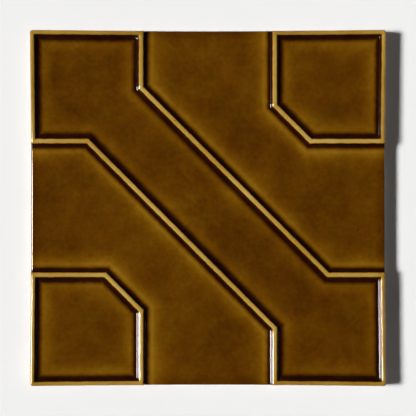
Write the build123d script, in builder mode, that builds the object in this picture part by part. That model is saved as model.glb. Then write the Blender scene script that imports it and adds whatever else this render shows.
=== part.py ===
"""Ceramic accent tile: a square pressed tile with raised ribs on its glazed face.

Millimetres. The bare back lies on XY, +Z goes up out of the glazed face, and the origin is the
middle of the back. The diagonal band runs from the -X +Y corner to the +X -Y corner.
"""
import math
import os

from build123d import *

# Body
tile_side = 152.0            # side of the square, corner to corner
side_hollow = 0.5            # how far the middle of each side lies inside that square
corner_radius = 1.2          # upright corners, seen from above
field_thickness = 7.5        # from the back up to the sunk fields
rim_radius = 0.7             # round along the upper edge
back_chamfer = 0.8           # bevel along the lower edge

# Ribs
rib_height = 2.0             # crest above the fields
crest_width = 1.7            # flat top of a rib, before its shoulders are rounded
edge_crest_width = 1.7       # the same for the ribs along the tile's edges, at its corners
rib_draft = 22.0             # how far a rib's flanks lean from upright, in degrees
root_radius = 1.5            # hollow where a flank runs into a field
shoulder_radius = 0.5        # round on both sides of a crest

# Pattern, measured to the middle of each rib
cross_rib_offset = 28.5      # ribs square to an edge, from the middle of that edge
band_rib_offset = 16.1       # the band's slanted ribs, from the diagonal that it follows
corner_rib_offset = 51.1     # the slanted ribs round the corner fields, from that diagonal

# Keying grooves in the back
groove_width = 6.0
groove_pitch = 14.0
groove_depth = 0.8
groove_draft = 30.0          # lean of a groove's sides from upright, in degrees
groove_border = 9.0          # plain back between the grooves and the tile's edge

tile_height = field_thickness + rib_height
half_height = tile_height / 2
half_side = tile_side / 2
inner_side = tile_side - 2 * edge_crest_width
beyond = 2 * tile_side       # a place well outside the tile, for outlines that run off its edge

groove_length = tile_side - 2 * groove_border
groove_count = 1 + math.floor((groove_length - groove_width) / groove_pitch)

# From the tile's middle to where a slanted rib turns into one square to an edge
band_knee = band_rib_offset * math.sqrt(2) + cross_rib_offset
corner_knee = corner_rib_offset * math.sqrt(2) - cross_rib_offset

# The middles of the ribs beside one open channel, each from one tile edge to the next
band_rib = [
    (-cross_rib_offset, beyond),
    (-cross_rib_offset, band_knee),
    (band_knee, -cross_rib_offset),
    (beyond, -cross_rib_offset),
]
corner_rib = [
    (beyond, cross_rib_offset),
    (corner_knee, cross_rib_offset),
    (cross_rib_offset, corner_knee),
    (cross_rib_offset, beyond),
]
opposite_band_rib = [(-x, -y) for x, y in band_rib]


def sunk_outline(*rib_middles):
    """The outline, at crest level, of a sunk field with ribs along the sides of a polygon."""
    with BuildSketch() as outline:
        with BuildLine():
            Polyline(*rib_middles, close=True)
        make_face()
        offset(amount=-crest_width / 2, kind=Kind.INTERSECTION, mode=Mode.REPLACE)
    return outline.sketch


def levels(tile):
    """The level faces of a tile, in groups of one height each: the back first, the crests last."""
    return tile.faces().filter_by(Plane.XY).group_by(Axis.Z)


def upright_faces(tile):
    """The faces of a tile that stand upright."""
    return tile.faces().filter_by(lambda face: abs(face.normal_at().Z) < 0.01)


def edges_off_walls(faces, tile):
    """The edges of some faces of a tile, less those where they meet its outer walls."""
    wall_edges = upright_faces(tile).edges()
    return faces.edges().filter_by(lambda edge: edge not in wall_edges)


# The square of four hollow sides, and the straight one that the ribs along its edges leave
with BuildSketch() as sharp_square:
    with BuildLine():
        hollow_side = ThreePointArc(
            (-half_side, -half_side),
            (0, side_hollow - half_side),
            (half_side, -half_side),
        )
        for quarter_turns in range(1, 4):
            add(hollow_side.rotate(Axis.Z, 90 * quarter_turns))
    make_face()

with BuildSketch() as tile_outline:
    add(sharp_square.sketch)
    fillet(tile_outline.vertices(), radius=corner_radius)

with BuildSketch() as inside_edge_ribs:
    Rectangle(inner_side, inner_side)

# The corner fields and the band stop at a rib along the edge, and the channels run out over it
with BuildSketch(Plane.XY.offset(tile_height)) as sunk_fields:
    add(sunk_outline(*band_rib, (beyond, -beyond), *opposite_band_rib, (-beyond, beyond)))
    with PolarLocations(0, 2):
        add(sunk_outline(*corner_rib, (beyond, beyond)))
    add(inside_edge_ribs.sketch, mode=Mode.INTERSECT)
    with PolarLocations(0, 2):
        add(sunk_outline(*band_rib, *corner_rib))

with BuildSketch() as keying_grooves:
    with GridLocations(groove_pitch, 0, groove_count, 1):
        Rectangle(groove_width, groove_length)

with BuildPart() as accent_tile:
    add(tile_outline.sketch)
    extrude(amount=tile_height)

    # The bare back, keyed for the mortar
    chamfer(levels(accent_tile)[0].edges(), length=back_chamfer)
    extrude(keying_grooves.sketch, amount=groove_depth, taper=groove_draft, mode=Mode.SUBTRACT)

    # The ribs are what stays between the sunk fields, with flanks that lean for the mould
    extrude(sunk_fields.sketch, amount=-rib_height, mode=Mode.SUBTRACT)
    flanks = upright_faces(accent_tile).filter_by_position(
        Axis.Z, field_thickness, tile_height, inclusive=(False, False)
    )
    draft(flanks, neutral_plane=Plane.XY.offset(tile_height), angle=rib_draft)

    # Soft moulded lines: the roots of the ribs, their shoulders, and then the rim all round
    fields = levels(accent_tile)[-2]
    fillet(edges_off_walls(fields, accent_tile), radius=root_radius)
    crests = levels(accent_tile)[-1]
    fillet(edges_off_walls(crests, accent_tile), radius=shoulder_radius)
    level_edges = upright_faces(accent_tile).edges().filter_by(Axis.Z, reverse=True)
    fillet(level_edges.filter_by_position(Axis.Z, half_height, tile_height), radius=rim_radius)

accent_tile.part.label = "accent_tile"

os.makedirs("parts", exist_ok=True)
export_step(accent_tile.part, "parts/accent_tile.step")
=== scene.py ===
"""The looks of a ceramic accent tile: amber glaze over a buff body, on a plain pale floor.

Metres, except where a name or a comment says millimetres. The tile's glazed face is made flat, as a
plan with a line wherever the relief bends, and a Geometry Nodes tree then raises it: how high the
glaze stands, and how deep it lies, follow from the distance to the nearest rib and to the tile's
edge.
"""
import math

import bpy
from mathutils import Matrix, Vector, noise
from mathutils.geometry import delaunay_2d_cdt


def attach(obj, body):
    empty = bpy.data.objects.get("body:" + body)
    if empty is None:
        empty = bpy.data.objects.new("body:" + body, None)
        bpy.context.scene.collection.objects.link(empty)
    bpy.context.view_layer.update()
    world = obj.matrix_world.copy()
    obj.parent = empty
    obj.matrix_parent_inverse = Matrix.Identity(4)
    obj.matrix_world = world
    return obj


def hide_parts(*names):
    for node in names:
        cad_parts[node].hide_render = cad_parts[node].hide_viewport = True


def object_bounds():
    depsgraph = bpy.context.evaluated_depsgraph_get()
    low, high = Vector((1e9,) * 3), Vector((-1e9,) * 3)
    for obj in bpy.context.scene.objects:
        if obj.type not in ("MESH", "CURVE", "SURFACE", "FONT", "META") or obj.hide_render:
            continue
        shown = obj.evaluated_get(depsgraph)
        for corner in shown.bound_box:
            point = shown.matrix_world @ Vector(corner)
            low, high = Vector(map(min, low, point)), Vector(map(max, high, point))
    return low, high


bl_info = {
    "name": "Glazed Accent Tile",
    "version": (1, 0, 0),
    "blender": (4, 5, 0),
    "location": "View3D > Sidebar > Tile",
    "description": "Builds a relief tile with a pooling amber glaze, and a plain studio for it",
    "category": "Add Mesh",
}

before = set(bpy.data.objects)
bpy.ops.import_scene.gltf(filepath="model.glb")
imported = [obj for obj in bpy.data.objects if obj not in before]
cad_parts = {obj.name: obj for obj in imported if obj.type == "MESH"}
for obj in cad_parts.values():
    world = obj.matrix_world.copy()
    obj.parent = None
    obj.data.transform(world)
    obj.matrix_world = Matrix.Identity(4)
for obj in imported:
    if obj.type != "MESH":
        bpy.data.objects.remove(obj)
cad_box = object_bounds()

CAD_NODE = "accent_tile"
TILE_HEIGHT = cad_box[1].z - cad_box[0].z
MM = 0.001

# Distances from a rib's middle at which the plan has a line, closest where the section bends most
RIB_LINES_MM = (0, 0.36, 0.46, 0.54, 0.62, 0.70, 0.78, 0.86, 0.95, 1.05, 1.2, 1.35, 1.5, 1.68,
                1.88, 2.1, 2.35, 2.62, 3.0, 3.6, 4.6, 6.0)
# The same inwards from the tile's edge, over the rounded rim
RIM_LINES_MM = (0, 0.03, 0.09, 0.18, 0.29, 0.41, 0.55, 0.7, 1.05)
# The loose points between those lines: their spacing, in the plan's steps, and how far they stay
# from the outermost line of a rib and from the tile's edge
LOOSE_STEPS = 2.2
LOOSE_OFF_RIB_MM = 0.6
LOOSE_OFF_EDGE_MM = 1.5
# Points closer than this are one point to the triangulator
SAME_POINT_MM = 1e-4
# Pieces of the quarter round at an upright corner
CORNER_PIECES = 6
# The keying grooves' sides: how far they lean from upright, and the plan's steps between two
# points along them
GROOVE_LEAN = math.radians(30)
GROOVE_STEPS = 4

# Depth of the glaze against the distance from a rib's middle, in millimetres: it runs off a rib,
# lies deep at its root and thin just beyond, thinnest in the open channels
RIB_RUN = ((0.0, 0.28), (0.7, 0.36), (1.2, 3.0), (2.0, 3.6))
GLAZE_RUNS = {
    "corner": RIB_RUN + ((2.75, 3.25), (3.7, 1.75), (4.8, 1.28), (6.3, 1.44), (8.5, 1.68),
                         (11.0, 1.81), (13.0, 1.87)),
    "channel": RIB_RUN + ((2.5, 3.2), (3.3, 1.7), (4.3, 1.03), (6.0, 1.32), (8.5, 1.64),
                          (11.0, 1.79), (13.0, 1.84)),
    "band": RIB_RUN + ((2.85, 3.3), (3.85, 1.9), (5.0, 1.42), (6.4, 1.58), (8.5, 1.78),
                       (11.0, 1.87), (13.0, 1.9)),
}
# Depth of the glaze on the tile's sides, and what it gains near its edges, over the last distance
SIDE_GLAZE_MM = 2.0
EDGE_GAIN_MM = 0.28
EDGE_GAIN_REACH_MM = 4.0

# The glaze's end on the tile's sides: its mean height above the back, and its waves, each with its
# grain, its height and the level at which its noise is cut
GLAZE_END = 0.0031
GLAZE_END_WAVES = ((0.021, 0.0011, 0.37), (0.0055, 0.0004, 1.9))
# Its rounded lower lip: height above that end, and distance in from the glazed side
GLAZE_LIP = ((0.0005, 0.0), (0.00022, 0.00001), (0.00008, 0.00005), (0.0, 0.00013))
# How far the glaze stands proud of the bare sides
GLAZE_THICKNESS = 0.00022
# Lines round the sides: one this far under the relief, one at this height above the back, and one
# on the clay, this far under the glaze's end
UNDER_RIM = 0.0005
SIDE_LINE = 0.0056
UNDER_GLAZE = 0.0004

# Shares of half the side between which a point comes to move in with its hollow side
HOLLOW_FROM = 0.8
HOLLOW_TO = 0.93
# Room under the crests for the waves, in wave heights
WAVE_ROOM = 1.5
# Grain of the noise that the relief strays by
RIB_WANDER_GRAIN_MM = 4.0
POOL_WANDER_GRAIN_MM = 3.0
WAVE_GRAIN_MM = 13.0
WANDER_DETAIL = 2.0

# Layers of noise: grain in millimetres, detail and weight
DEPTH_SHARE_LAYERS = ((9.0, 3.0, 1.4), (1.8, 3.0, 1.0))
DEPTH_LAYERS = ((30.0, 1.0, 2.2), (4.0, 2.0, 1.0))
CLAY_LAYERS = ((0.7, 3.0, 0.5), (12.0, 2.0, 0.35))
DRIFT_GRAIN_MM = 7.0
DRIFT_DETAIL = 2.0
# Pinholes: how far apart their places are, and how much deeper the glaze looks in one
PINHOLE_SPACING_MM = 20.0
PINHOLE_DEPTH_MM = 1.3
GLAZE_IOR = 1.5

FLOOR_LEVEL = -0.02 * MM
FLOOR_REACH = 6.0
SENSOR_WIDTH_MM = 36.0
# The room's light: how strong it is below one Z of a direction and above another, and the share
# of it that a glossy surface doesn't mirror
LOW_Z = 0.12
HIGH_Z = 0.45
LOW_LIGHT = 0.6
HIGH_LIGHT = 0.052
NOT_MIRRORED = 0.65


class TileSizes(bpy.types.PropertyGroup):
    """Sizes of the tile's relief and of the glaze on it."""

    side: bpy.props.FloatProperty(
        name="Side", description="Side of the square, corner to corner",
        default=0.15196, min=0.05, unit="LENGTH")
    side_hollow: bpy.props.FloatProperty(
        name="Side hollow", description="How far the middle of each side lies inside the square",
        default=0.0005, min=0.0, unit="LENGTH")
    corner_radius: bpy.props.FloatProperty(
        name="Corner radius", description="Upright corners, seen from above",
        default=0.0012, min=0.0001, unit="LENGTH")
    height: bpy.props.FloatProperty(
        name="Height", description="From the back to the crests of the ribs",
        default=TILE_HEIGHT, min=0.002, unit="LENGTH")
    rib_height: bpy.props.FloatProperty(
        name="Rib height", description="Crest of a rib above the sunk fields",
        default=0.002, min=0.0, unit="LENGTH")
    crest_width: bpy.props.FloatProperty(
        name="Crest width", description="Top of a rib, before its shoulders are rounded",
        default=0.0017, min=0.0, unit="LENGTH")
    edge_crest_width: bpy.props.FloatProperty(
        name="Edge crest width", description="The same for the ribs along the tile's edges",
        default=0.0017, min=0.0, unit="LENGTH")
    crown: bpy.props.FloatProperty(
        name="Crown", description="How much a crest bulges: its slope for each metre off its middle",
        default=480.0, min=0.0)
    rib_lean: bpy.props.FloatProperty(
        name="Rib lean", description="How far a rib's flanks lean from upright",
        default=math.radians(22), min=0.01, max=1.4, subtype="ANGLE")
    shoulder_softness: bpy.props.FloatProperty(
        name="Shoulder softness", description="Height over which a crest rounds into its flanks",
        default=0.0005, min=0.0, unit="LENGTH")
    root_softness: bpy.props.FloatProperty(
        name="Root softness", description="Height over which a flank runs out into a field",
        default=0.0007, min=0.0, unit="LENGTH")
    rim_radius: bpy.props.FloatProperty(
        name="Rim radius", description="Round along the upper edge",
        default=0.0007, min=0.0001, unit="LENGTH")
    cross_rib_offset: bpy.props.FloatProperty(
        name="Cross rib offset", description="Ribs square to an edge, from that edge's middle",
        default=0.0285, min=0.0, unit="LENGTH")
    band_rib_offset: bpy.props.FloatProperty(
        name="Band rib offset", description="The band's slanted ribs, from the diagonal",
        default=0.0161, min=0.0, unit="LENGTH")
    corner_rib_offset: bpy.props.FloatProperty(
        name="Corner rib offset", description="Slanted ribs of the corners, from the diagonal",
        default=0.0511, min=0.0, unit="LENGTH")
    back_chamfer: bpy.props.FloatProperty(
        name="Back chamfer", description="Bevel along the lower edge",
        default=0.0008, min=0.0, unit="LENGTH")
    groove_width: bpy.props.FloatProperty(
        name="Groove width", description="Keying grooves in the back",
        default=0.006, min=0.0005, unit="LENGTH")
    groove_pitch: bpy.props.FloatProperty(
        name="Groove pitch", description="From one keying groove to the next",
        default=0.014, min=0.002, unit="LENGTH")
    groove_depth: bpy.props.FloatProperty(
        name="Groove depth", description="How deep the keying grooves are",
        default=0.0008, min=0.0, unit="LENGTH")
    groove_border: bpy.props.FloatProperty(
        name="Groove border", description="Plain back between the grooves and the tile's edge",
        default=0.009, min=0.0, unit="LENGTH")
    waviness: bpy.props.FloatProperty(
        name="Waviness", description="How far the glaze stands off its true level",
        default=0.00003, min=0.0, unit="LENGTH", precision=6)
    rib_wander: bpy.props.FloatProperty(
        name="Rib wander", description="How far a rib's edges stray from their straight line",
        default=0.00009, min=0.0, unit="LENGTH", precision=6)
    pool_wander: bpy.props.FloatProperty(
        name="Pool wander", description="How far the dark pools' edges stray from theirs",
        default=0.00022, min=0.0, unit="LENGTH", precision=6)
    step: bpy.props.FloatProperty(
        name="Step", description="Distance between the plan's points along a line",
        default=0.0013, min=0.0003, unit="LENGTH")
    seed: bpy.props.IntProperty(
        name="Seed", description="Which of the like tiles this one is", default=4)


class GlazeLook(bpy.types.PropertyGroup):
    """Colours and finish of the glaze and the bare clay."""

    thin_glaze: bpy.props.FloatVectorProperty(
        name="Thin glaze", description="Colour of the body under hardly any glaze",
        default=(0.62, 0.415, 0.145), min=0.0, max=1.0, size=3, subtype="COLOR")
    absorption: bpy.props.FloatVectorProperty(
        name="Absorption", description="What a millimetre of glaze takes of red, green and blue",
        default=(1.0, 1.37, 3.4), min=0.0, max=20.0, size=3)
    mottling: bpy.props.FloatProperty(
        name="Mottling", description="How much the glaze's depth varies from place to place",
        default=0.3, min=0.0, max=1.0, subtype="FACTOR")
    pinholes: bpy.props.FloatProperty(
        name="Pinholes", description="Share of the places for a pinhole that have one",
        default=0.3, min=0.0, max=1.0, subtype="FACTOR")
    pinhole_radius: bpy.props.FloatProperty(
        name="Pinhole radius", description="How far a pinhole's dark spot reaches",
        default=0.0004, min=0.0, unit="LENGTH", precision=5)
    drift: bpy.props.FloatProperty(
        name="Drift", description="How far the glaze drifts between reddish and olive",
        default=0.16, min=0.0, max=1.0, subtype="FACTOR")
    gloss_roughness: bpy.props.FloatProperty(
        name="Glaze roughness", description="Roughness of the glaze's surface",
        default=0.09, min=0.0, max=1.0, subtype="FACTOR")
    clay: bpy.props.FloatVectorProperty(
        name="Clay", description="Colour of the bare fired body",
        default=(0.60, 0.46, 0.32), min=0.0, max=1.0, size=3, subtype="COLOR")
    clay_roughness: bpy.props.FloatProperty(
        name="Clay roughness", description="Roughness of the bare fired body",
        default=0.9, min=0.0, max=1.0, subtype="FACTOR")


class StudioLook(bpy.types.PropertyGroup):
    """Floor, light and camera."""

    floor: bpy.props.FloatVectorProperty(
        name="Floor", description="Colour of the floor",
        default=(0.885, 0.885, 0.88), min=0.0, max=1.0, size=3, subtype="COLOR")
    key_strength: bpy.props.FloatProperty(
        name="Key strength", description="Strength of the lamp, in watts per square metre",
        default=3.8, min=0.0)
    key_height: bpy.props.FloatProperty(
        name="Key height", description="Height of the lamp above the horizon",
        default=math.radians(49.3), subtype="ANGLE")
    key_spread: bpy.props.FloatProperty(
        name="Key spread", description="How wide the lamp looks from the tile",
        default=math.radians(12), subtype="ANGLE")
    window_strength: bpy.props.FloatProperty(
        name="Window strength", description="How bright the window looks in the glaze",
        default=130.0, min=0.0)
    window_tint: bpy.props.FloatVectorProperty(
        name="Window tint", description="Colour of the window in the glaze",
        default=(1.0, 0.88, 0.8), min=0.0, max=1.0, size=3, subtype="COLOR")
    window_length: bpy.props.FloatProperty(
        name="Window length", description="The window's size along Y",
        default=0.38, min=0.0, unit="LENGTH")
    window_height: bpy.props.FloatProperty(
        name="Window height", description="The window's size across the slope of its light",
        default=0.45, min=0.0, unit="LENGTH")
    window_shift: bpy.props.FloatProperty(
        name="Window shift", description="How far along Y the window's middle is from the tile's",
        default=-0.14, unit="LENGTH")
    window_distance: bpy.props.FloatProperty(
        name="Window distance", description="From the tile to the window",
        default=1.5, min=0.1, unit="LENGTH")
    camera_distance: bpy.props.FloatProperty(
        name="Camera distance", description="From the camera down to the crests",
        default=1.0, min=0.1, unit="LENGTH")
    frame_width: bpy.props.FloatProperty(
        name="Frame width", description="What the picture takes in, at the crests",
        default=0.1772, min=0.01, unit="LENGTH")


class NodeMaker:
    """Adds nodes to a tree, one after another, and links what it is given to their inputs."""

    def __init__(self, tree):
        self.tree = tree
        self.count = 0

    def node(self, kind, **settings):
        """Add a node, with its settings."""
        made = self.tree.nodes.new(kind)
        made.location = (180 * (self.count // 6), -170 * (self.count % 6))
        self.count += 1
        for name, value in settings.items():
            setattr(made, name, value)
        return made

    def join(self, value, socket):
        """Give an input a link, or a constant."""
        if isinstance(value, bpy.types.NodeSocket):
            self.tree.links.new(value, socket)
        else:
            socket.default_value = value

    def math(self, operation, *values):
        """One operation of arithmetic."""
        made = self.node("ShaderNodeMath", operation=operation)
        for value, socket in zip(values, made.inputs):
            self.join(value, socket)
        return made.outputs[0]

    def least(self, *values):
        """The smallest of some values."""
        found = values[0]
        for value in values[1:]:
            found = self.math("MINIMUM", found, value)
        return found

    def blend(self, factor, low, high):
        """low where factor is 0 and high where it is 1."""
        return self.math("MULTIPLY_ADD", self.math("SUBTRACT", high, low), factor, low)

    def fade(self, value, start, end, first, last):
        """Goes smoothly from first to last while a value goes from start to end."""
        made = self.node("ShaderNodeMapRange", interpolation_type="SMOOTHSTEP")
        for number, socket in zip((value, start, end, first, last), made.inputs):
            self.join(number, socket)
        return made.outputs[0]

    def noise(self, place, grain_mm, detail):
        """Noise of a given grain, centred on nought."""
        made = self.node("ShaderNodeTexNoise")
        self.join(place, made.inputs["Vector"])
        made.inputs["Scale"].default_value = 1 / (grain_mm * MM)
        made.inputs["Detail"].default_value = detail
        return self.math("SUBTRACT", made.outputs[0], 0.5)

    def layers(self, place, layers, strength, start):
        """A value with layers of noise added to it."""
        total = start
        for grain_mm, detail, weight in layers:
            layer = self.noise(place, grain_mm, detail)
            total = self.math("MULTIPLY_ADD", layer, weight * strength, total)
        return total

    def attribute(self, name):
        """A named attribute of the mesh, in a Geometry Nodes tree."""
        made = self.node("GeometryNodeInputNamedAttribute", data_type="FLOAT")
        made.inputs["Name"].default_value = name
        return made.outputs[0]


def knees(sizes):
    """How far from the tile's middle the band's ribs and the corners' ribs turn."""
    band = sizes.band_rib_offset * math.sqrt(2) + sizes.cross_rib_offset
    corner = sizes.corner_rib_offset * math.sqrt(2) - sizes.cross_rib_offset
    return band, corner


def turned(field):
    """A field half a turn round the tile's middle."""
    return [((-x, -y), kind) for (x, y), kind in field]


def field_outlines(sizes):
    """The fields between the middles of the ribs: corners, and what each side from there is."""
    s = sizes.side / 2
    c = sizes.cross_rib_offset
    band, corner = knees(sizes)
    corner_field = [
        ((c, s), "rib"), ((c, corner), "rib"), ((corner, c), "rib"), ((s, c), "edge"),
        ((s, s), "edge"),
    ]
    channel = [
        ((-c, s), "rib"), ((-c, band), "rib"), ((band, -c), "rib"), ((s, -c), "open"),
        ((s, c), "rib"), ((corner, c), "rib"), ((c, corner), "rib"), ((c, s), "open"),
    ]
    half_band = [
        ((-s, s), "edge"), ((-s, c), "rib"), ((-band, c), "rib"), ((c, -band), "rib"),
        ((c, -s), "edge"),
    ]
    return [corner_field, turned(corner_field), channel, turned(channel),
            half_band + turned(half_band)]


def inset_corners(field, rib_inset, edge_inset):
    """A field's corners with its sides moved inwards, all by their own kind's distance."""
    insets = {"rib": rib_inset, "edge": edge_inset, "open": 0.0}
    lines = []
    for index, ((x, y), kind) in enumerate(field):
        next_x, next_y = field[(index + 1) % len(field)][0]
        along = Vector((next_x - x, next_y - y)).normalized()
        inwards = Vector((-along.y, along.x))
        lines.append((Vector((x, y)) + inwards * insets[kind], along))
    corners = []
    for (start, along), (point, other) in zip(lines[-1:] + lines[:-1], lines):
        reach = (point - start).cross(other) / along.cross(other)
        corners.append(start + along * reach)
    return corners


def rounded_square(half, radius, inset, step):
    """Points round a square with rounded corners, moved inwards."""
    points = []
    bend = max(radius - inset, 0.0)
    reach = half - max(radius, inset)
    straight = max(1, round(2 * reach / step))
    angles = [math.pi / 2 / CORNER_PIECES * i for i in range(1, CORNER_PIECES)]
    for quarter in range(4):
        turn = math.pi / 2 * quarter
        cos, sin = round(math.cos(turn)), round(math.sin(turn))
        side = [(half - inset, reach * (2 * i / straight - 1)) for i in range(straight + 1)]
        if bend:
            side += [(reach + bend * math.cos(a), reach + bend * math.sin(a)) for a in angles]
        points += [Vector((x * cos - y * sin, x * sin + y * cos)) for x, y in side]
    return points


class Plan:
    """Points and lines that a flat mesh has to follow, in millimetres for the triangulator."""

    def __init__(self):
        self.points = []
        self.lines = []

    def path(self, points, closed=False):
        """Add points with a line from each to the next."""
        first = len(self.points)
        self.points += [Vector(p) / MM for p in points]
        self.lines += [(first + i, first + i + 1) for i in range(len(points) - 1)]
        if closed:
            self.lines.append((first + len(points) - 1, first))

    def mesh(self):
        """Points in metres, triangles, and which of the added points each point stands for."""
        points, _, faces, sources, _, _ = delaunay_2d_cdt(
            self.points, self.lines, [], 0, SAME_POINT_MM)
        return [p * MM for p in points], [list(f) for f in faces], sources


def spaced(start, end, step):
    """Points from start to end, both included, about a step apart."""
    count = max(1, round((end - start).length / step))
    return [start.lerp(end, i / count) for i in range(count + 1)]


def off_ribs(sizes, x, y):
    """Signed distances from the band's rib and from the corner's, for both halves of the tile:
    above 0 on the corner's side."""
    c = sizes.cross_rib_offset
    for px, py in ((x, y), (-x, -y)):
        slant = (px + py) / math.sqrt(2)
        yield (min(px + c, py + c, slant - sizes.band_rib_offset),
               min(px - c, py - c, slant - sizes.corner_rib_offset))


def loose_points(sizes, edge_rib):
    """Points of a grid in the fields, clear of the plan's lines."""
    half = sizes.side / 2
    grid = LOOSE_STEPS * sizes.step
    clear = (RIB_LINES_MM[-1] + LOOSE_OFF_RIB_MM) * MM
    reach = int(half / grid)
    for i in range(-reach, reach + 1):
        for j in range(-reach, reach + 1):
            x, y = i * grid, j * grid
            offsets = list(off_ribs(sizes, x, y))
            off_rib = min(abs(offset) for pair in offsets for offset in pair)
            off_edge = half - max(abs(x), abs(y))
            in_channel = any(band > 0 > corner for band, corner in offsets)
            if off_rib > clear and off_edge > LOOSE_OFF_EDGE_MM * MM:
                if in_channel or off_edge > clear + edge_rib:
                    yield Vector((x, y))


def face_plan(sizes):
    """The flat plan of the glazed face."""
    plan = Plan()
    half = sizes.side / 2
    edge_rib = sizes.edge_crest_width - sizes.crest_width / 2
    for inset in RIM_LINES_MM:
        plan.path(rounded_square(half, sizes.corner_radius, inset * MM, sizes.step), closed=True)
    for field in field_outlines(sizes):
        # A channel shares all its ribs with its neighbours, and their middles come with those
        channel = any(kind == "open" for _, kind in field)
        distances = RIB_LINES_MM[1:] if channel else RIB_LINES_MM
        rings = [inset_corners(field, d * MM, d * MM + edge_rib) for d in distances]
        count = len(field)
        for ring in rings:
            for index, (_, kind) in enumerate(field):
                if kind != "open":
                    plan.path(spaced(ring[index], ring[(index + 1) % count], sizes.step))
        for index in range(count):
            if "open" not in (field[index][1], field[index - 1][1]):
                plan.path([ring[index] for ring in rings])
    for point in loose_points(sizes, edge_rib):
        plan.path([point])
    points, faces, _ = plan.mesh()
    return points, faces


def boundary_loop(faces):
    """The open border of a triangulated plan, as one loop of points, counter-clockwise."""
    edges = {(f[i], f[(i + 1) % len(f)]) for f in faces for i in range(len(f))}
    after = {a: b for a, b in edges if (b, a) not in edges}
    loop = [min(after)]
    while after[loop[-1]] != loop[0]:
        loop.append(after[loop[-1]])
    return loop


def glaze_end(x, y):
    """How high above the back the glaze ends on the tile's sides: it runs lower in places."""
    end = GLAZE_END
    for grain, height, cut in GLAZE_END_WAVES:
        end += height * noise.noise(Vector((x, y, cut)) / grain)
    return end


def moved_in(sizes, point, inset):
    """A point of the tile's outline, moved square to it towards the inside."""
    reach = sizes.side / 2 - sizes.corner_radius
    if abs(point.x) <= reach:
        inward = Vector((0, math.copysign(inset, point.y)))
    elif abs(point.y) <= reach:
        inward = Vector((math.copysign(inset, point.x), 0))
    else:
        centre = Vector((math.copysign(reach, point.x), math.copysign(reach, point.y)))
        inward = (point - centre).normalized() * inset
    return point - inward


class Shell:
    """The tile's closed mesh in the making. Each point has three attributes:
    follow, 1 where it goes up with the relief; below, how far under the relief it stays;
    glazed, 1 under glaze and 0 on bare clay."""

    def __init__(self):
        self.places = []
        self.faces = []
        self.attributes = {"follow": [], "below": [], "glazed": []}

    def point(self, place, follow=0.0, below=0.0, glazed=0.0):
        """Add a point and return its number."""
        self.places.append(place)
        for name, value in (("follow", follow), ("below", below), ("glazed", glazed)):
            self.attributes[name].append(value)
        return len(self.places) - 1

    def join(self, upper, lower):
        """Join two rings of points by faces."""
        for i in range(len(upper)):
            j = (i + 1) % len(upper)
            self.faces.append([upper[i], lower[i], lower[j], upper[j]])

    def mesh(self, crisp):
        """The finished mesh, smooth but for as many of its last faces as crisp says."""
        made = bpy.data.meshes.new(CAD_NODE)
        made.from_pydata(self.places, [], self.faces)
        for name, values in self.attributes.items():
            made.attributes.new(name, "FLOAT", "POINT").data.foreach_set("value", values)
        smooth = [True] * (len(self.faces) - crisp) + [False] * crisp
        made.polygons.foreach_set("use_smooth", smooth)
        made.validate()
        return made


def add_sides(shell, sizes, rim, outline, level):
    """The tile's sides, from the rim of its face down to its back. Returns the back's ring."""
    ends = [glaze_end(p.x, p.y) for p in outline]
    rings = [rim, [
        shell.point(Vector((p.x, p.y, level)), follow=1.0, below=UNDER_RIM, glazed=1.0)
        for p in outline
    ]]

    def add_ring(heights, inset, glazed):
        """Add a ring of points, one for each point of the outline."""
        rings.append([])
        for point, height in zip(outline, heights):
            x, y = moved_in(sizes, point, inset)
            rings[-1].append(shell.point(Vector((x, y, height)), glazed=glazed))

    add_ring([SIDE_LINE] * len(outline), 0.0, 1.0)
    for rise, inset in GLAZE_LIP:
        add_ring([end + rise for end in ends], inset, 1.0)
    add_ring(ends, GLAZE_THICKNESS, 0.0)
    add_ring([end - UNDER_GLAZE for end in ends], GLAZE_THICKNESS, 0.0)
    add_ring([sizes.back_chamfer] * len(outline), GLAZE_THICKNESS, 0.0)
    add_ring([0.0] * len(outline), GLAZE_THICKNESS + sizes.back_chamfer, 0.0)
    for upper, lower in zip(rings, rings[1:]):
        shell.join(upper, lower)
    return rings[-1]


def grooves(sizes):
    """Middles of the keying grooves along X, and half their length."""
    length = sizes.side - 2 * sizes.groove_border
    count = 1 + int((length - sizes.groove_width) / sizes.groove_pitch)
    return [sizes.groove_pitch * (i - (count - 1) / 2) for i in range(count)], length / 2


def groove_rise(sizes, x, y):
    """Height of the back at a point: level, or up in a keying groove."""
    middles, half_length = grooves(sizes)
    across = min(abs(x - middle) for middle in middles)
    inside = min(sizes.groove_width / 2 - across, half_length - abs(y))
    return min(max(inside / math.tan(GROOVE_LEAN), 0.0), sizes.groove_depth)


def back_plan(sizes, ring):
    """The flat plan of the back inside a ring, and which of its points are which of the ring's."""
    middles, half_length = grooves(sizes)
    slope = sizes.groove_depth * math.tan(GROOVE_LEAN)
    plan = Plan()
    plan.path(ring, closed=True)
    for middle in middles:
        for inset in (0.0, slope):
            x = sizes.groove_width / 2 - inset
            y = half_length - inset
            corners = [
                Vector((middle + x * i, y * j)) for i, j in ((1, -1), (1, 1), (-1, 1), (-1, -1))
            ]
            for start, end in zip(corners, corners[1:] + corners[:1]):
                plan.path(spaced(start, end, GROOVE_STEPS * sizes.step))
    points, faces, sources = plan.mesh()
    on_ring = {
        index: source
        for index, given in enumerate(sources) for source in given if source < len(ring)
    }
    return points, faces, on_ring


def add_back(shell, sizes, ring):
    """The bare back inside its ring, with its keying grooves. Returns how many faces it has."""
    points, faces, on_ring = back_plan(sizes, [shell.places[i].to_2d() for i in ring])
    numbers = []
    for index, point in enumerate(points):
        if index in on_ring:
            numbers.append(ring[on_ring[index]])
        else:
            height = groove_rise(sizes, point.x, point.y)
            numbers.append(shell.point(Vector((point.x, point.y, height))))
    shell.faces += [[numbers[i] for i in reversed(f)] for f in faces]
    return len(faces)


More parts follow.
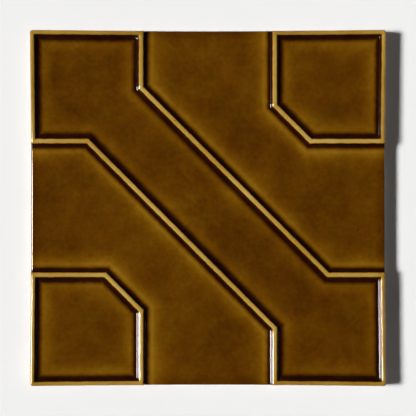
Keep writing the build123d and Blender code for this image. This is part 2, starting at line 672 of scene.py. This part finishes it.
def tile_mesh(sizes):
    """The closed mesh with a flat face, its sides and its grooved back."""
    shell = Shell()
    points, faces = face_plan(sizes)
    level = sizes.height / 2
    for point in points:
        shell.point(Vector((point.x, point.y, level)), follow=1.0, glazed=1.0)
    shell.faces += faces
    border = boundary_loop(faces)
    ring = add_sides(shell, sizes, border, [points[i] for i in border], level)
    back_faces = add_back(shell, sizes, ring)
    # The bare sides, the chamfer and the back keep their crisp edges
    return shell.mesh(crisp=2 * len(border) + back_faces)


def pattern_nodes(m, given, x, y):
    """Distance from the nearest rib's middle, and whether a place is in a channel, or in the band."""
    cross = given["Cross rib offset"]

    def off_rib(px, py, slant, diagonal, move):
        """Signed distance from a rib of three straight runs."""
        return m.least(
            m.math(move, px, cross), m.math(move, py, cross), m.math("SUBTRACT", slant, diagonal))

    bands = []
    channels = []
    distances = []
    for sign in (1.0, -1.0):
        px = m.math("MULTIPLY", x, sign)
        py = m.math("MULTIPLY", y, sign)
        slant = m.math("DIVIDE", m.math("ADD", px, py), math.sqrt(2))
        band = off_rib(px, py, slant, given["Band rib offset"], "ADD")
        corner = off_rib(px, py, slant, given["Corner rib offset"], "SUBTRACT")
        bands.append(band)
        channels.append(m.math("MINIMUM", band, m.math("MULTIPLY", corner, -1.0)))
        distances += [m.math("ABSOLUTE", band), m.math("ABSOLUTE", corner)]
    in_channel = m.math("GREATER_THAN", m.math("MAXIMUM", *channels), 0.0)
    in_band = m.math("LESS_THAN", m.math("MAXIMUM", *bands), 0.0)
    return m.least(*distances), in_channel, in_band


def edge_nodes(m, given, half, x, y):
    """Distance from the tile's edge, round its corners too."""
    radius = given["Corner radius"]
    off_x = m.math("SUBTRACT", half, m.math("ABSOLUTE", x))
    off_y = m.math("SUBTRACT", half, m.math("ABSOLUTE", y))
    near_x = m.math("MAXIMUM", m.math("SUBTRACT", radius, off_x), 0.0)
    near_y = m.math("MAXIMUM", m.math("SUBTRACT", radius, off_y), 0.0)
    squares = m.math("ADD", m.math("POWER", near_x, 2.0), m.math("POWER", near_y, 2.0))
    off_corner = m.math("SUBTRACT", radius, m.math("SQRT", squares))
    both_near = m.math("GREATER_THAN", m.math("MINIMUM", near_x, near_y), 0.0)
    return m.blend(both_near, m.math("MINIMUM", off_x, off_y), off_corner)


def height_nodes(m, given, strayed, half_crest, to_edge, waves):
    """Height of the glaze: the section of a rib, and the rim that falls away as a quarter round."""
    top = m.math("SUBTRACT", given["Height"], m.math("MULTIPLY", given["Waviness"], WAVE_ROOM))
    bulge = m.math("MULTIPLY", m.math("POWER", strayed, 2.0), given["Crown"])
    crest = m.math("SUBTRACT", top, m.math("MULTIPLY", bulge, 0.5))
    field = m.math("SUBTRACT", given["Height"], given["Rib height"])
    fall = m.math("DIVIDE", m.math("SUBTRACT", strayed, half_crest),
                  m.math("TANGENT", given["Rib lean"]))
    flank = m.math("SUBTRACT", top, fall)
    shoulder = m.math("SMOOTH_MIN", crest, flank, given["Shoulder softness"])
    section = m.math("SMOOTH_MAX", shoulder, field, given["Root softness"])
    level = m.math("MINIMUM", m.math("ADD", section, waves), given["Height"])

    rim = given["Rim radius"]
    over = m.math("MAXIMUM", m.math("SUBTRACT", rim, to_edge), 0.0)
    under_root = m.math("SUBTRACT", m.math("POWER", rim, 2.0), m.math("POWER", over, 2.0))
    fallen = m.math("SUBTRACT", rim, m.math("SQRT", m.math("MAXIMUM", under_root, 0.0)))
    return m.math("SUBTRACT", level, fallen)


def hollowed_nodes(m, given, half, along, across):
    """A coordinate moved in with the hollow side that it is near."""
    share = m.math("DIVIDE", across, half)
    arch = m.math("SUBTRACT", 1.0, m.math("POWER", m.math("ABSOLUTE", share), 2.0))
    out = m.math("DIVIDE", m.math("ABSOLUTE", along), half)
    reach = m.fade(out, HOLLOW_FROM, HOLLOW_TO, 0.0, 1.0)
    inwards = m.math("MULTIPLY", m.math("MULTIPLY", arch, given["Side hollow"]), reach)
    return m.math("SUBTRACT", along, m.math("MULTIPLY", m.math("SIGN", along), inwards))


def run_nodes(m, off_pool, run):
    """The glaze's depth, in millimetres, as one of the runs has it."""
    longest = run[-1][0]
    deepest = max(depth for _, depth in run)
    curve = m.node("ShaderNodeFloatCurve")
    points = curve.mapping.curves[0].points
    while len(points) < len(run):
        points.new(0.5, 0.5)
    for point, (distance, depth) in zip(points, run):
        point.location = (distance / longest, depth / deepest)
    curve.mapping.update()
    share = m.node("ShaderNodeClamp")
    m.join(m.math("DIVIDE", off_pool, longest * MM), share.inputs["Value"])
    m.join(share.outputs[0], curve.inputs["Value"])
    return m.math("MULTIPLY", curve.outputs[0], deepest)


def depth_nodes(m, off_pool, in_channel, in_band, to_edge):
    """Depth of the glaze in millimetres, on the face and on the sides."""
    corner, channel, band = (
        run_nodes(m, off_pool, GLAZE_RUNS[name]) for name in ("corner", "channel", "band"))
    run = m.blend(in_channel, m.blend(in_band, corner, band), channel)
    depth = m.math("ADD", run, m.fade(to_edge, 0.0, EDGE_GAIN_REACH_MM * MM, EDGE_GAIN_MM, 0.0))
    lowered = m.math("ADD", m.attribute("below"), m.math("SUBTRACT", 1.0, m.attribute("follow")))
    return m.blend(m.math("GREATER_THAN", lowered, 0.0), depth, SIDE_GLAZE_MM)


def relief_tree():
    """The Geometry Nodes tree that raises the flat face by the tile's rules."""
    tree = bpy.data.node_groups.new("Tile relief", "GeometryNodeTree")
    face = tree.interface
    face.new_socket("Geometry", in_out="INPUT", socket_type="NodeSocketGeometry")
    face.new_socket("Geometry", in_out="OUTPUT", socket_type="NodeSocketGeometry")
    for name in ("Side", "Side hollow", "Corner radius", "Height", "Rib height", "Crest width",
                 "Edge crest width", "Crown", "Rib lean", "Shoulder softness", "Root softness",
                 "Rim radius", "Cross rib offset", "Band rib offset", "Corner rib offset",
                 "Waviness", "Rib wander", "Pool wander", "Seed"):
        face.new_socket(name, in_out="INPUT", socket_type="NodeSocketFloat")
    face.new_socket("Material", in_out="INPUT", socket_type="NodeSocketMaterial")

    m = NodeMaker(tree)
    given = m.node("NodeGroupInput").outputs
    place = m.node("GeometryNodeInputPosition").outputs[0]
    split = m.node("ShaderNodeSeparateXYZ")
    m.join(place, split.inputs[0])
    x, y, z = split.outputs
    half = m.math("MULTIPLY", given["Side"], 0.5)
    to_rib, in_channel, in_band = pattern_nodes(m, given, x, y)
    to_edge = edge_nodes(m, given, half, x, y)

    # Distance from the middle of a rib, or of the like rib along the edge
    half_crest = m.math("MULTIPLY", given["Crest width"], 0.5)
    edge_middle = m.math("SUBTRACT", given["Edge crest width"], half_crest)
    to_edge_rib = m.math("SUBTRACT", to_edge, edge_middle)
    nearest = m.blend(in_channel, m.math("MINIMUM", to_rib, to_edge_rib), to_rib)

    seeded = m.node("ShaderNodeCombineXYZ")
    m.join(given["Seed"], seeded.inputs[2])
    shifted = m.node("ShaderNodeVectorMath", operation="ADD")
    m.join(place, shifted.inputs[0])
    m.join(seeded.outputs[0], shifted.inputs[1])

    def wander(grain_mm, amount):
        """Noise of a given grain, from minus amount to plus amount."""
        centred = m.noise(shifted.outputs[0], grain_mm, WANDER_DETAIL)
        return m.math("MULTIPLY", m.math("MULTIPLY", centred, 2.0), amount)

    strayed = m.math("ADD", nearest, wander(RIB_WANDER_GRAIN_MM, given["Rib wander"]))
    waves = wander(WAVE_GRAIN_MM, given["Waviness"])
    surface = height_nodes(m, given, strayed, half_crest, to_edge, waves)
    raised = m.math("SUBTRACT", surface, m.attribute("below"))
    moved = m.node("ShaderNodeCombineXYZ")
    m.join(hollowed_nodes(m, given, half, x, y), moved.inputs[0])
    m.join(hollowed_nodes(m, given, half, y, x), moved.inputs[1])
    m.join(m.blend(m.attribute("follow"), z, raised), moved.inputs[2])

    # The glaze's depth is kept for the material, worked out before the points move
    off_pool = m.math("ADD", strayed, wander(POOL_WANDER_GRAIN_MM, given["Pool wander"]))
    stored = m.node("GeometryNodeStoreNamedAttribute", data_type="FLOAT", domain="POINT")
    m.join(given["Geometry"], stored.inputs["Geometry"])
    stored.inputs["Name"].default_value = "glaze_depth"
    m.join(depth_nodes(m, off_pool, in_channel, in_band, to_edge), stored.inputs["Value"])

    placed = m.node("GeometryNodeSetPosition")
    m.join(stored.outputs["Geometry"], placed.inputs["Geometry"])
    m.join(moved.outputs[0], placed.inputs["Position"])
    real = m.node("GeometryNodeRealizeInstances")
    m.join(placed.outputs[0], real.inputs[0])
    dressed = m.node("GeometryNodeSetMaterial")
    m.join(real.outputs[0], dressed.inputs["Geometry"])
    m.join(given["Material"], dressed.inputs["Material"])
    out = m.node("NodeGroupOutput")
    m.join(dressed.outputs[0], out.inputs[0])
    return tree


def pinhole_depth(m, place, look):
    """What small dark spots add to the glaze's depth, where bubbles came up through it, one to a
    cell at most."""
    cell = PINHOLE_SPACING_MM * MM
    spots = m.node("ShaderNodeTexVoronoi", voronoi_dimensions="2D")
    m.join(place, spots.inputs["Vector"])
    spots.inputs["Scale"].default_value = 1 / cell
    chance = m.node("ShaderNodeSeparateColor")
    m.join(spots.outputs["Color"], chance.inputs[0])
    chosen = m.math("LESS_THAN", chance.outputs[0], look.pinholes)
    inside = m.fade(spots.outputs["Distance"], 0.0, look.pinhole_radius / cell, 1.0, 0.0)
    return m.math("MULTIPLY", inside, chosen)


def glaze_colour(m, place, look):
    """Clay seen through the coloured glaze: the deeper the glaze, the darker."""
    stored = m.node("ShaderNodeAttribute", attribute_name="glaze_depth").outputs["Fac"]
    depth = m.math("MULTIPLY_ADD", pinhole_depth(m, place, look), PINHOLE_DEPTH_MM, stored)
    share = m.math("ADD", m.layers(place, DEPTH_SHARE_LAYERS, look.mottling, 0.0), 1.0)
    seen = m.math("MULTIPLY", m.layers(place, DEPTH_LAYERS, look.mottling, depth), share)
    drift = m.math("MULTIPLY_ADD", m.noise(place, DRIFT_GRAIN_MM, DRIFT_DETAIL), look.drift, 1.0)
    colour = m.node("ShaderNodeCombineColor")
    for thin, taken, drifts, socket in zip(
            look.thin_glaze, look.absorption, (False, True, False), colour.inputs):
        taken_here = m.math("MULTIPLY", drift, -taken) if drifts else -taken
        through = m.math("EXPONENT", m.math("MULTIPLY", seen, taken_here))
        m.join(m.math("MULTIPLY", through, thin), socket)
    return colour.outputs[0]


def clay_colour(m, place, look):
    """The bare fired body, a little speckled."""
    lit = m.math("ADD", m.layers(place, CLAY_LAYERS, 1.0, 0.0), 1.0)
    tint = m.node("ShaderNodeCombineColor")
    for socket in tint.inputs:
        m.join(lit, socket)
    body = m.node("ShaderNodeMix", data_type="RGBA", blend_type="MULTIPLY")
    body.inputs["Factor"].default_value = 1.0
    body.inputs[6].default_value = (*look.clay, 1.0)
    m.join(tint.outputs[0], body.inputs[7])
    return body.outputs[2]


def tile_material(look):
    """Glossy amber glaze, and matt clay where the tile is bare."""
    material = bpy.data.materials.new("Amber glaze")
    material.use_nodes = True
    tree = material.node_tree
    tree.nodes.clear()
    m = NodeMaker(tree)
    place = m.node("ShaderNodeTexCoord").outputs["Object"]
    glazed = m.node("ShaderNodeAttribute", attribute_name="glazed").outputs["Fac"]
    both = m.node("ShaderNodeMix", data_type="RGBA")
    m.join(glazed, both.inputs["Factor"])
    m.join(clay_colour(m, place, look), both.inputs[6])
    m.join(glaze_colour(m, place, look), both.inputs[7])
    shader = m.node("ShaderNodeBsdfPrincipled")
    m.join(both.outputs[2], shader.inputs["Base Color"])
    m.join(m.blend(glazed, look.clay_roughness, look.gloss_roughness), shader.inputs["Roughness"])
    shader.inputs["IOR"].default_value = GLAZE_IOR
    out = m.node("ShaderNodeOutputMaterial")
    m.join(shader.outputs[0], out.inputs[0])
    return material


class OBJECT_OT_glazed_tile(bpy.types.Operator):
    """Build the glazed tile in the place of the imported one"""

    bl_idname = "object.glazed_tile"
    bl_label = "Build Glazed Tile"

    def execute(self, context):
        sizes = context.scene.tile_sizes
        flat = bpy.data.objects.new("flat_tile", tile_mesh(sizes))
        context.scene.collection.objects.link(flat)
        relief = flat.modifiers.new("Relief", "NODES")
        relief.node_group = relief_tree()
        inputs = {
            item.name: item.identifier
            for item in relief.node_group.interface.items_tree
            if item.item_type == "SOCKET" and item.in_out == "INPUT"
        }
        for name in TileSizes.__annotations__:
            label = TileSizes.bl_rna.properties[name].name
            if label in inputs:
                relief[inputs[label]] = float(getattr(sizes, name))
        relief[inputs["Material"]] = tile_material(context.scene.glaze_look)
        context.view_layer.update()
        evaluated = flat.evaluated_get(context.evaluated_depsgraph_get())
        mesh = bpy.data.meshes.new_from_object(evaluated)
        bpy.data.objects.remove(flat)
        tile = bpy.data.objects.new("glazed_tile", mesh)
        context.scene.collection.objects.link(tile)
        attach(tile, "root")
        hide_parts(CAD_NODE)
        return {"FINISHED"}


def floor_material(look):
    """A plain colour, matt all over."""
    material = bpy.data.materials.new("Pale floor")
    material.use_nodes = True
    shader = material.node_tree.nodes["Principled BSDF"]
    shader.inputs["Base Color"].default_value = (*look.floor, 1.0)
    shader.inputs["Roughness"].default_value = 1.0
    shader.inputs["Specular IOR Level"].default_value = 0.0
    return material


def lay_floor(scene, look):
    """The floor, a hair under the tile's back."""
    mesh = bpy.data.meshes.new("floor")
    corners = [(x * FLOOR_REACH, y * FLOOR_REACH, FLOOR_LEVEL)
               for x, y in ((-1, -1), (1, -1), (1, 1), (-1, 1))]
    mesh.from_pydata(corners, [], [(0, 1, 2, 3)])
    mesh.materials.append(floor_material(look))
    floor = bpy.data.objects.new("floor", mesh)
    scene.collection.objects.link(floor)


def studio_world():
    """Dim all round, pale at the horizon and dark overhead, like a room with its lights off."""
    world = bpy.data.worlds.new("Dim room")
    world.use_nodes = True
    tree = world.node_tree
    tree.nodes.clear()
    m = NodeMaker(tree)
    split = m.node("ShaderNodeSeparateXYZ")
    m.join(m.node("ShaderNodeTexCoord").outputs["Generated"], split.inputs[0])
    light = m.fade(split.outputs[2], LOW_Z, HIGH_Z, LOW_LIGHT, HIGH_LIGHT)
    mirrored = m.node("ShaderNodeLightPath").outputs["Is Glossy Ray"]
    seen = m.math("MULTIPLY", light, m.math("MULTIPLY_ADD", mirrored, -NOT_MIRRORED, 1.0))
    back = m.node("ShaderNodeBackground")
    m.join(seen, back.inputs["Strength"])
    out = m.node("ShaderNodeOutputWorld")
    m.join(back.outputs[0], out.inputs[0])
    return world


def hang_lamp(scene, look, towards, turn):
    """The one lamp that lights the tile and the floor, from far off."""
    lamp = bpy.data.lights.new("Key", "SUN")
    lamp.energy = look.key_strength
    lamp.angle = look.key_spread
    key = bpy.data.objects.new("Key", lamp)
    key.rotation_euler = turn
    key.location = towards
    key.visible_glossy = False
    scene.collection.objects.link(key)


def hang_window(scene, look, towards, turn):
    """What the glaze mirrors of the same light: a window that only one half of the tile sees."""
    pane = bpy.data.lights.new("Window", "AREA")
    pane.shape = "RECTANGLE"
    pane.size = look.window_length
    pane.size_y = look.window_height
    pane.color = look.window_tint
    pane.energy = look.window_strength * math.pi * pane.size * pane.size_y
    pane.use_nodes = True
    m = NodeMaker(pane.node_tree)
    bounced = m.node("ShaderNodeLightPath").outputs["Diffuse Depth"]
    straight = m.math("SUBTRACT", 1.0, m.math("MINIMUM", bounced, 1.0))
    m.join(straight, pane.node_tree.nodes["Emission"].inputs["Strength"])
    window = bpy.data.objects.new("Window", pane)
    window.rotation_euler = turn
    window.location = towards * look.window_distance + Vector((0.0, look.window_shift, 0.0))
    window.visible_diffuse = False
    scene.collection.objects.link(window)


def place_camera(scene, look):
    """The camera, straight above the tile."""
    lens = bpy.data.cameras.new("Camera")
    lens.sensor_width = SENSOR_WIDTH_MM
    lens.lens = lens.sensor_width * look.camera_distance / look.frame_width
    camera = bpy.data.objects.new("Camera", lens)
    camera.location = (0.0, 0.0, cad_box[1].z + look.camera_distance)
    scene.collection.objects.link(camera)
    scene.camera = camera


class OBJECT_OT_tile_studio(bpy.types.Operator):
    """Lay the floor, and set up the light and the camera"""

    bl_idname = "object.tile_studio"
    bl_label = "Set Up Studio"

    def execute(self, context):
        scene = context.scene
        look = scene.studio_look
        towards = Vector((-math.cos(look.key_height), 0.0, math.sin(look.key_height)))
        turn = towards.to_track_quat("Z", "Y").to_euler()
        lay_floor(scene, look)
        hang_lamp(scene, look, towards, turn)
        hang_window(scene, look, towards, turn)
        scene.world = studio_world()
        place_camera(scene, look)
        scene.view_settings.view_transform = "Standard"
        return {"FINISHED"}


class VIEW3D_PT_glazed_tile(bpy.types.Panel):
    """The tile's sizes, its finish and the studio, with the buttons that build them"""

    bl_label = "Glazed Tile"
    bl_idname = "VIEW3D_PT_glazed_tile"
    bl_space_type = "VIEW_3D"
    bl_region_type = "UI"
    bl_category = "Tile"

    def draw(self, context):
        for group, operator in (("tile_sizes", "object.glazed_tile"),
                                ("glaze_look", None), ("studio_look", "object.tile_studio")):
            box = self.layout.box()
            owner = getattr(context.scene, group)
            for name in type(owner).__annotations__:
                box.prop(owner, name)
            if operator:
                box.operator(operator)


CLASSES = (TileSizes, GlazeLook, StudioLook, OBJECT_OT_glazed_tile, OBJECT_OT_tile_studio,
           VIEW3D_PT_glazed_tile)
GROUPS = {"tile_sizes": TileSizes, "glaze_look": GlazeLook, "studio_look": StudioLook}


def register():
    """Add the classes, and the groups of sizes and looks that every scene then has."""
    for cls in CLASSES:
        bpy.utils.register_class(cls)
    for name, group in GROUPS.items():
        setattr(bpy.types.Scene, name, bpy.props.PointerProperty(type=group))


def unregister():
    """Take away what register added."""
    for name in GROUPS:
        delattr(bpy.types.Scene, name)
    for cls in reversed(CLASSES):
        bpy.utils.unregister_class(cls)


def main():
    """Build the tile and its studio."""
    register()
    bpy.ops.object.glazed_tile()
    bpy.ops.object.tile_studio()


if __name__ == "__main__":
    main()
